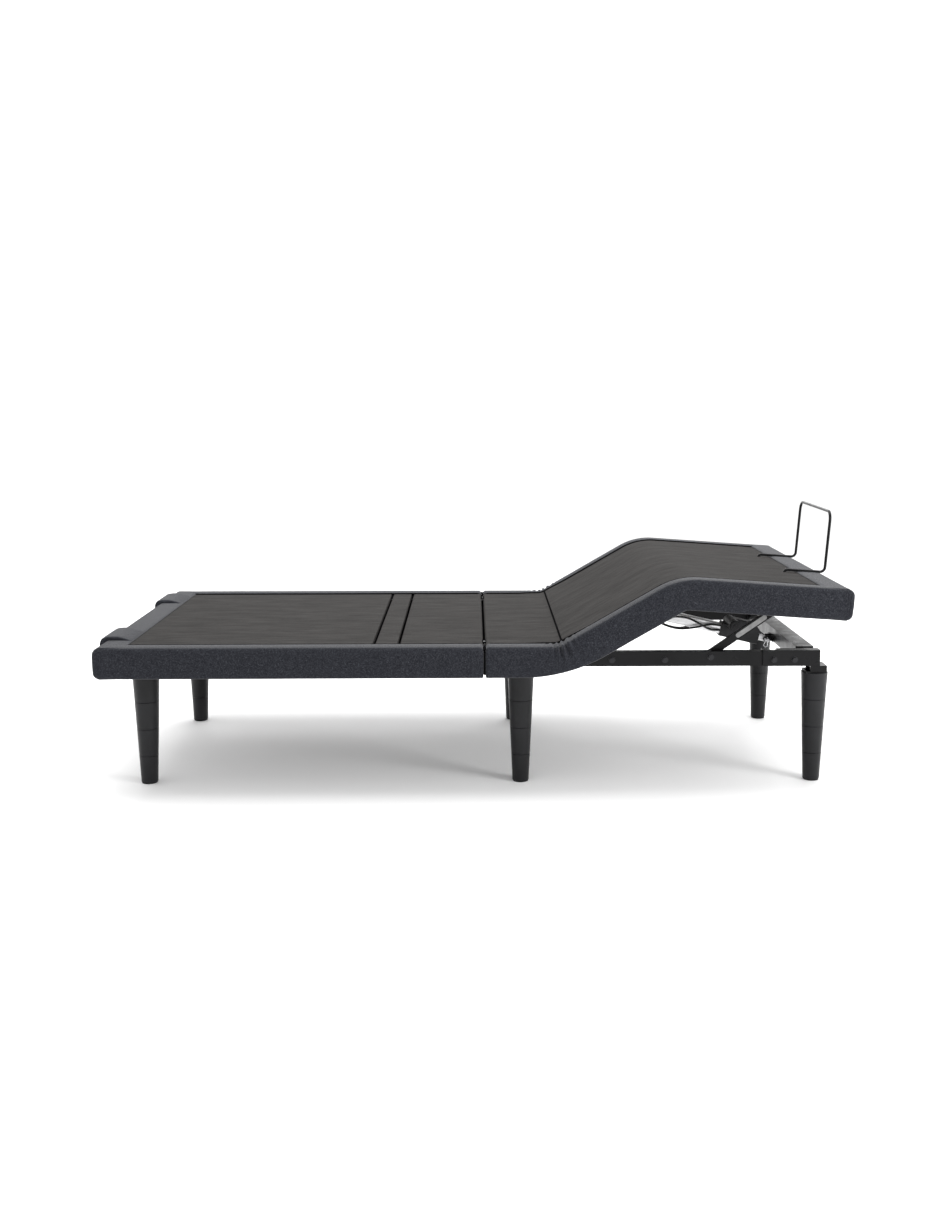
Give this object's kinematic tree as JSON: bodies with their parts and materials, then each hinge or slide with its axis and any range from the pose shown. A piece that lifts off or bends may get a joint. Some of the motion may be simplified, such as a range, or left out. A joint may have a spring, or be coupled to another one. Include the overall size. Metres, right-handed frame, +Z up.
{
  "type": "adjustable bed base",
  "caption": "Adjustable single bed base: steel frame on tapered legs, upholstered head, seat, thigh and calf sections that fold, electric actuators, mattress retainer bar.",
  "frame": {"origin": "on the floor under the middle of the base's outline", "axes": "+X towards the foot end, +Y across the bed, +Z up"},
  "size_m": [2.0151, 0.965, 0.7297],
  "materials": {
    "black_paint": "semi-gloss black powder coat",
    "bright_steel": "zinc plated",
    "leg_plastic": "satin black",
    "glide_rubber": "matte black",
    "board_wood": "raw board under its cover",
    "cover_fabric": "charcoal heather knit",
    "housing_aluminium": "satin extrusion",
    "black_plastic": "moulded black",
    "roller_nylon": "turned nylon",
    "label_film": "blank light grey label"
  },
  "bodies": {
    "frame": {"side_rail_near": "black_paint", "side_rail_far": "black_paint", "head_cross_rail": "black_paint", "center_cross_rail": "black_paint", "foot_cross_rail": "black_paint", "rail_end_sleeves": "black_paint", "leg_brackets": "black_paint", "leg_studs": "bright_steel", "leg_glides": "glide_rubber", "frame_bolts": "black_paint", "seat_frame": "black_paint", "seat_board": "board_wood", "seat_skirt_near": "cover_fabric", "seat_skirt_far": "cover_fabric", "hinge_brackets": "black_paint", "hinge_pins": "bright_steel", "actuator_brackets": "black_paint", "clevis_pins": "bright_steel", "control_box": "black_plastic", "power_inlet": "black_plastic", "head_legs": "leg_plastic", "center_legs": "leg_plastic", "foot_legs": "leg_plastic"},
    "head_deck": {"head_board": "board_wood", "lower_back_board": "board_wood", "head_frame": "black_paint", "head_skirt_near": "cover_fabric", "head_skirt_far": "cover_fabric", "head_skirt_end": "cover_fabric", "head_end_loops": "cover_fabric", "head_massage_motor": "black_plastic", "lumbar_actuator": "black_plastic"},
    "lumbar": {"lumbar_board": "board_wood", "lumbar_carrier": "black_paint"},
    "head_lifter": {"head_lifter": "black_paint"},
    "head_rollers": {"head_lifter_rollers": "roller_nylon"},
    "thigh_deck": {"thigh_board": "board_wood", "thigh_frame": "black_paint", "thigh_skirt_near": "cover_fabric", "thigh_skirt_far": "cover_fabric", "knee_pins": "bright_steel"},
    "calf_deck": {"calf_board": "board_wood", "calf_frame": "black_paint", "calf_skirt_near": "cover_fabric", "calf_skirt_far": "cover_fabric", "calf_skirt_end": "cover_fabric", "retainer_bar": "black_paint", "retainer_sockets": "black_paint", "foot_massage_motor": "black_plastic"},
    "calf_links": {"calf_links": "black_paint", "calf_link_labels": "label_film"},
    "calf_rollers": {"calf_link_rollers": "roller_nylon"},
    "head_actuator": {"head_actuator_housing": "housing_aluminium", "head_actuator_motor": "black_plastic"},
    "head_rod": {"head_actuator_rod": "bright_steel"},
    "foot_actuator": {"foot_actuator_housing": "housing_aluminium", "foot_actuator_motor": "black_plastic", "foot_motor_cables": "black_plastic"},
    "foot_rod": {"foot_actuator_rod": "bright_steel"}
  },
  "joints": [
    {"name": "head_lift", "type": "hinge", "parent": "frame", "child": "head_deck", "pos_m": [0.018, 0, 0.39], "axis": [0, 1, 0], "range_deg": [0, 60]},
    {"name": "lumbar_lift", "type": "slide", "parent": "head_deck", "child": "lumbar", "axis": [0, 0, 1], "range_m": [0, 0.03]},
    {"name": "head_lifter_turn", "type": "hinge", "parent": "frame", "child": "head_lifter", "pos_m": [-0.102, 0, 0.338], "axis": [0, 1, 0], "range_deg": [0, 73.8]},
    {"name": "head_roller_spin", "type": "hinge", "parent": "head_lifter", "child": "head_rollers", "pos_m": [-0.43145, 0, 0.357], "axis": [0, 1, 0], "continuous": true},
    {"name": "head_actuator_pivot", "type": "hinge", "parent": "frame", "child": "head_actuator", "pos_m": [-0.827, 0, 0.33], "axis": [0, -1, 0], "range_deg": [0, 7.1]},
    {"name": "head_rod_stroke", "type": "slide", "parent": "head_actuator", "child": "head_rod", "axis": [0.9996, 0, 0.0267], "range_m": [0, 0.0885]},
    {"name": "thigh_lift", "type": "hinge", "parent": "frame", "child": "thigh_deck", "pos_m": [0.23, 0, 0.338], "axis": [0, -1, 0], "range_deg": [-30, 10]},
    {"name": "knee_bend", "type": "hinge", "parent": "thigh_deck", "child": "calf_deck", "pos_m": [0.53632, 0, 0.53483], "axis": [0, 1, 0], "range_deg": [-34.1, 11.4]},
    {"name": "calf_link_turn", "type": "hinge", "parent": "frame", "child": "calf_links", "pos_m": [0.632, 0, 0.35], "axis": [0, -1, 0], "range_deg": [-33.7, 11.3]},
    {"name": "calf_roller_spin", "type": "hinge", "parent": "calf_links", "child": "calf_rollers", "pos_m": [0.86672, 0, 0.51253], "axis": [0, 1, 0], "continuous": true},
    {"name": "foot_actuator_pivot", "type": "hinge", "parent": "frame", "child": "foot_actuator", "pos_m": [0.863, 0, 0.33], "axis": [0, 1, 0], "range_deg": [-10.6, 3.6]},
    {"name": "foot_rod_stroke", "type": "slide", "parent": "foot_actuator", "child": "foot_rod", "axis": [-0.9733, 0, 0.2295], "range_m": [-0.047, 0.016]}
  ],
  "couplings": [
    {"joint": "head_lifter_turn", "follows": "head_lift", "ratio": 1.229},
    {"joint": "head_actuator_pivot", "follows": "head_lift", "ratio": 0.117},
    {"joint": "head_rod_stroke", "follows": "head_lift", "m_per_rad": 0.08391},
    {"joint": "knee_bend", "follows": "thigh_lift", "ratio": 1.1333},
    {"joint": "calf_link_turn", "follows": "thigh_lift", "ratio": 1.12},
    {"joint": "foot_actuator_pivot", "follows": "thigh_lift", "ratio": 0.35},
    {"joint": "foot_rod_stroke", "follows": "thigh_lift", "m_per_rad": 0.088808}
  ]
}
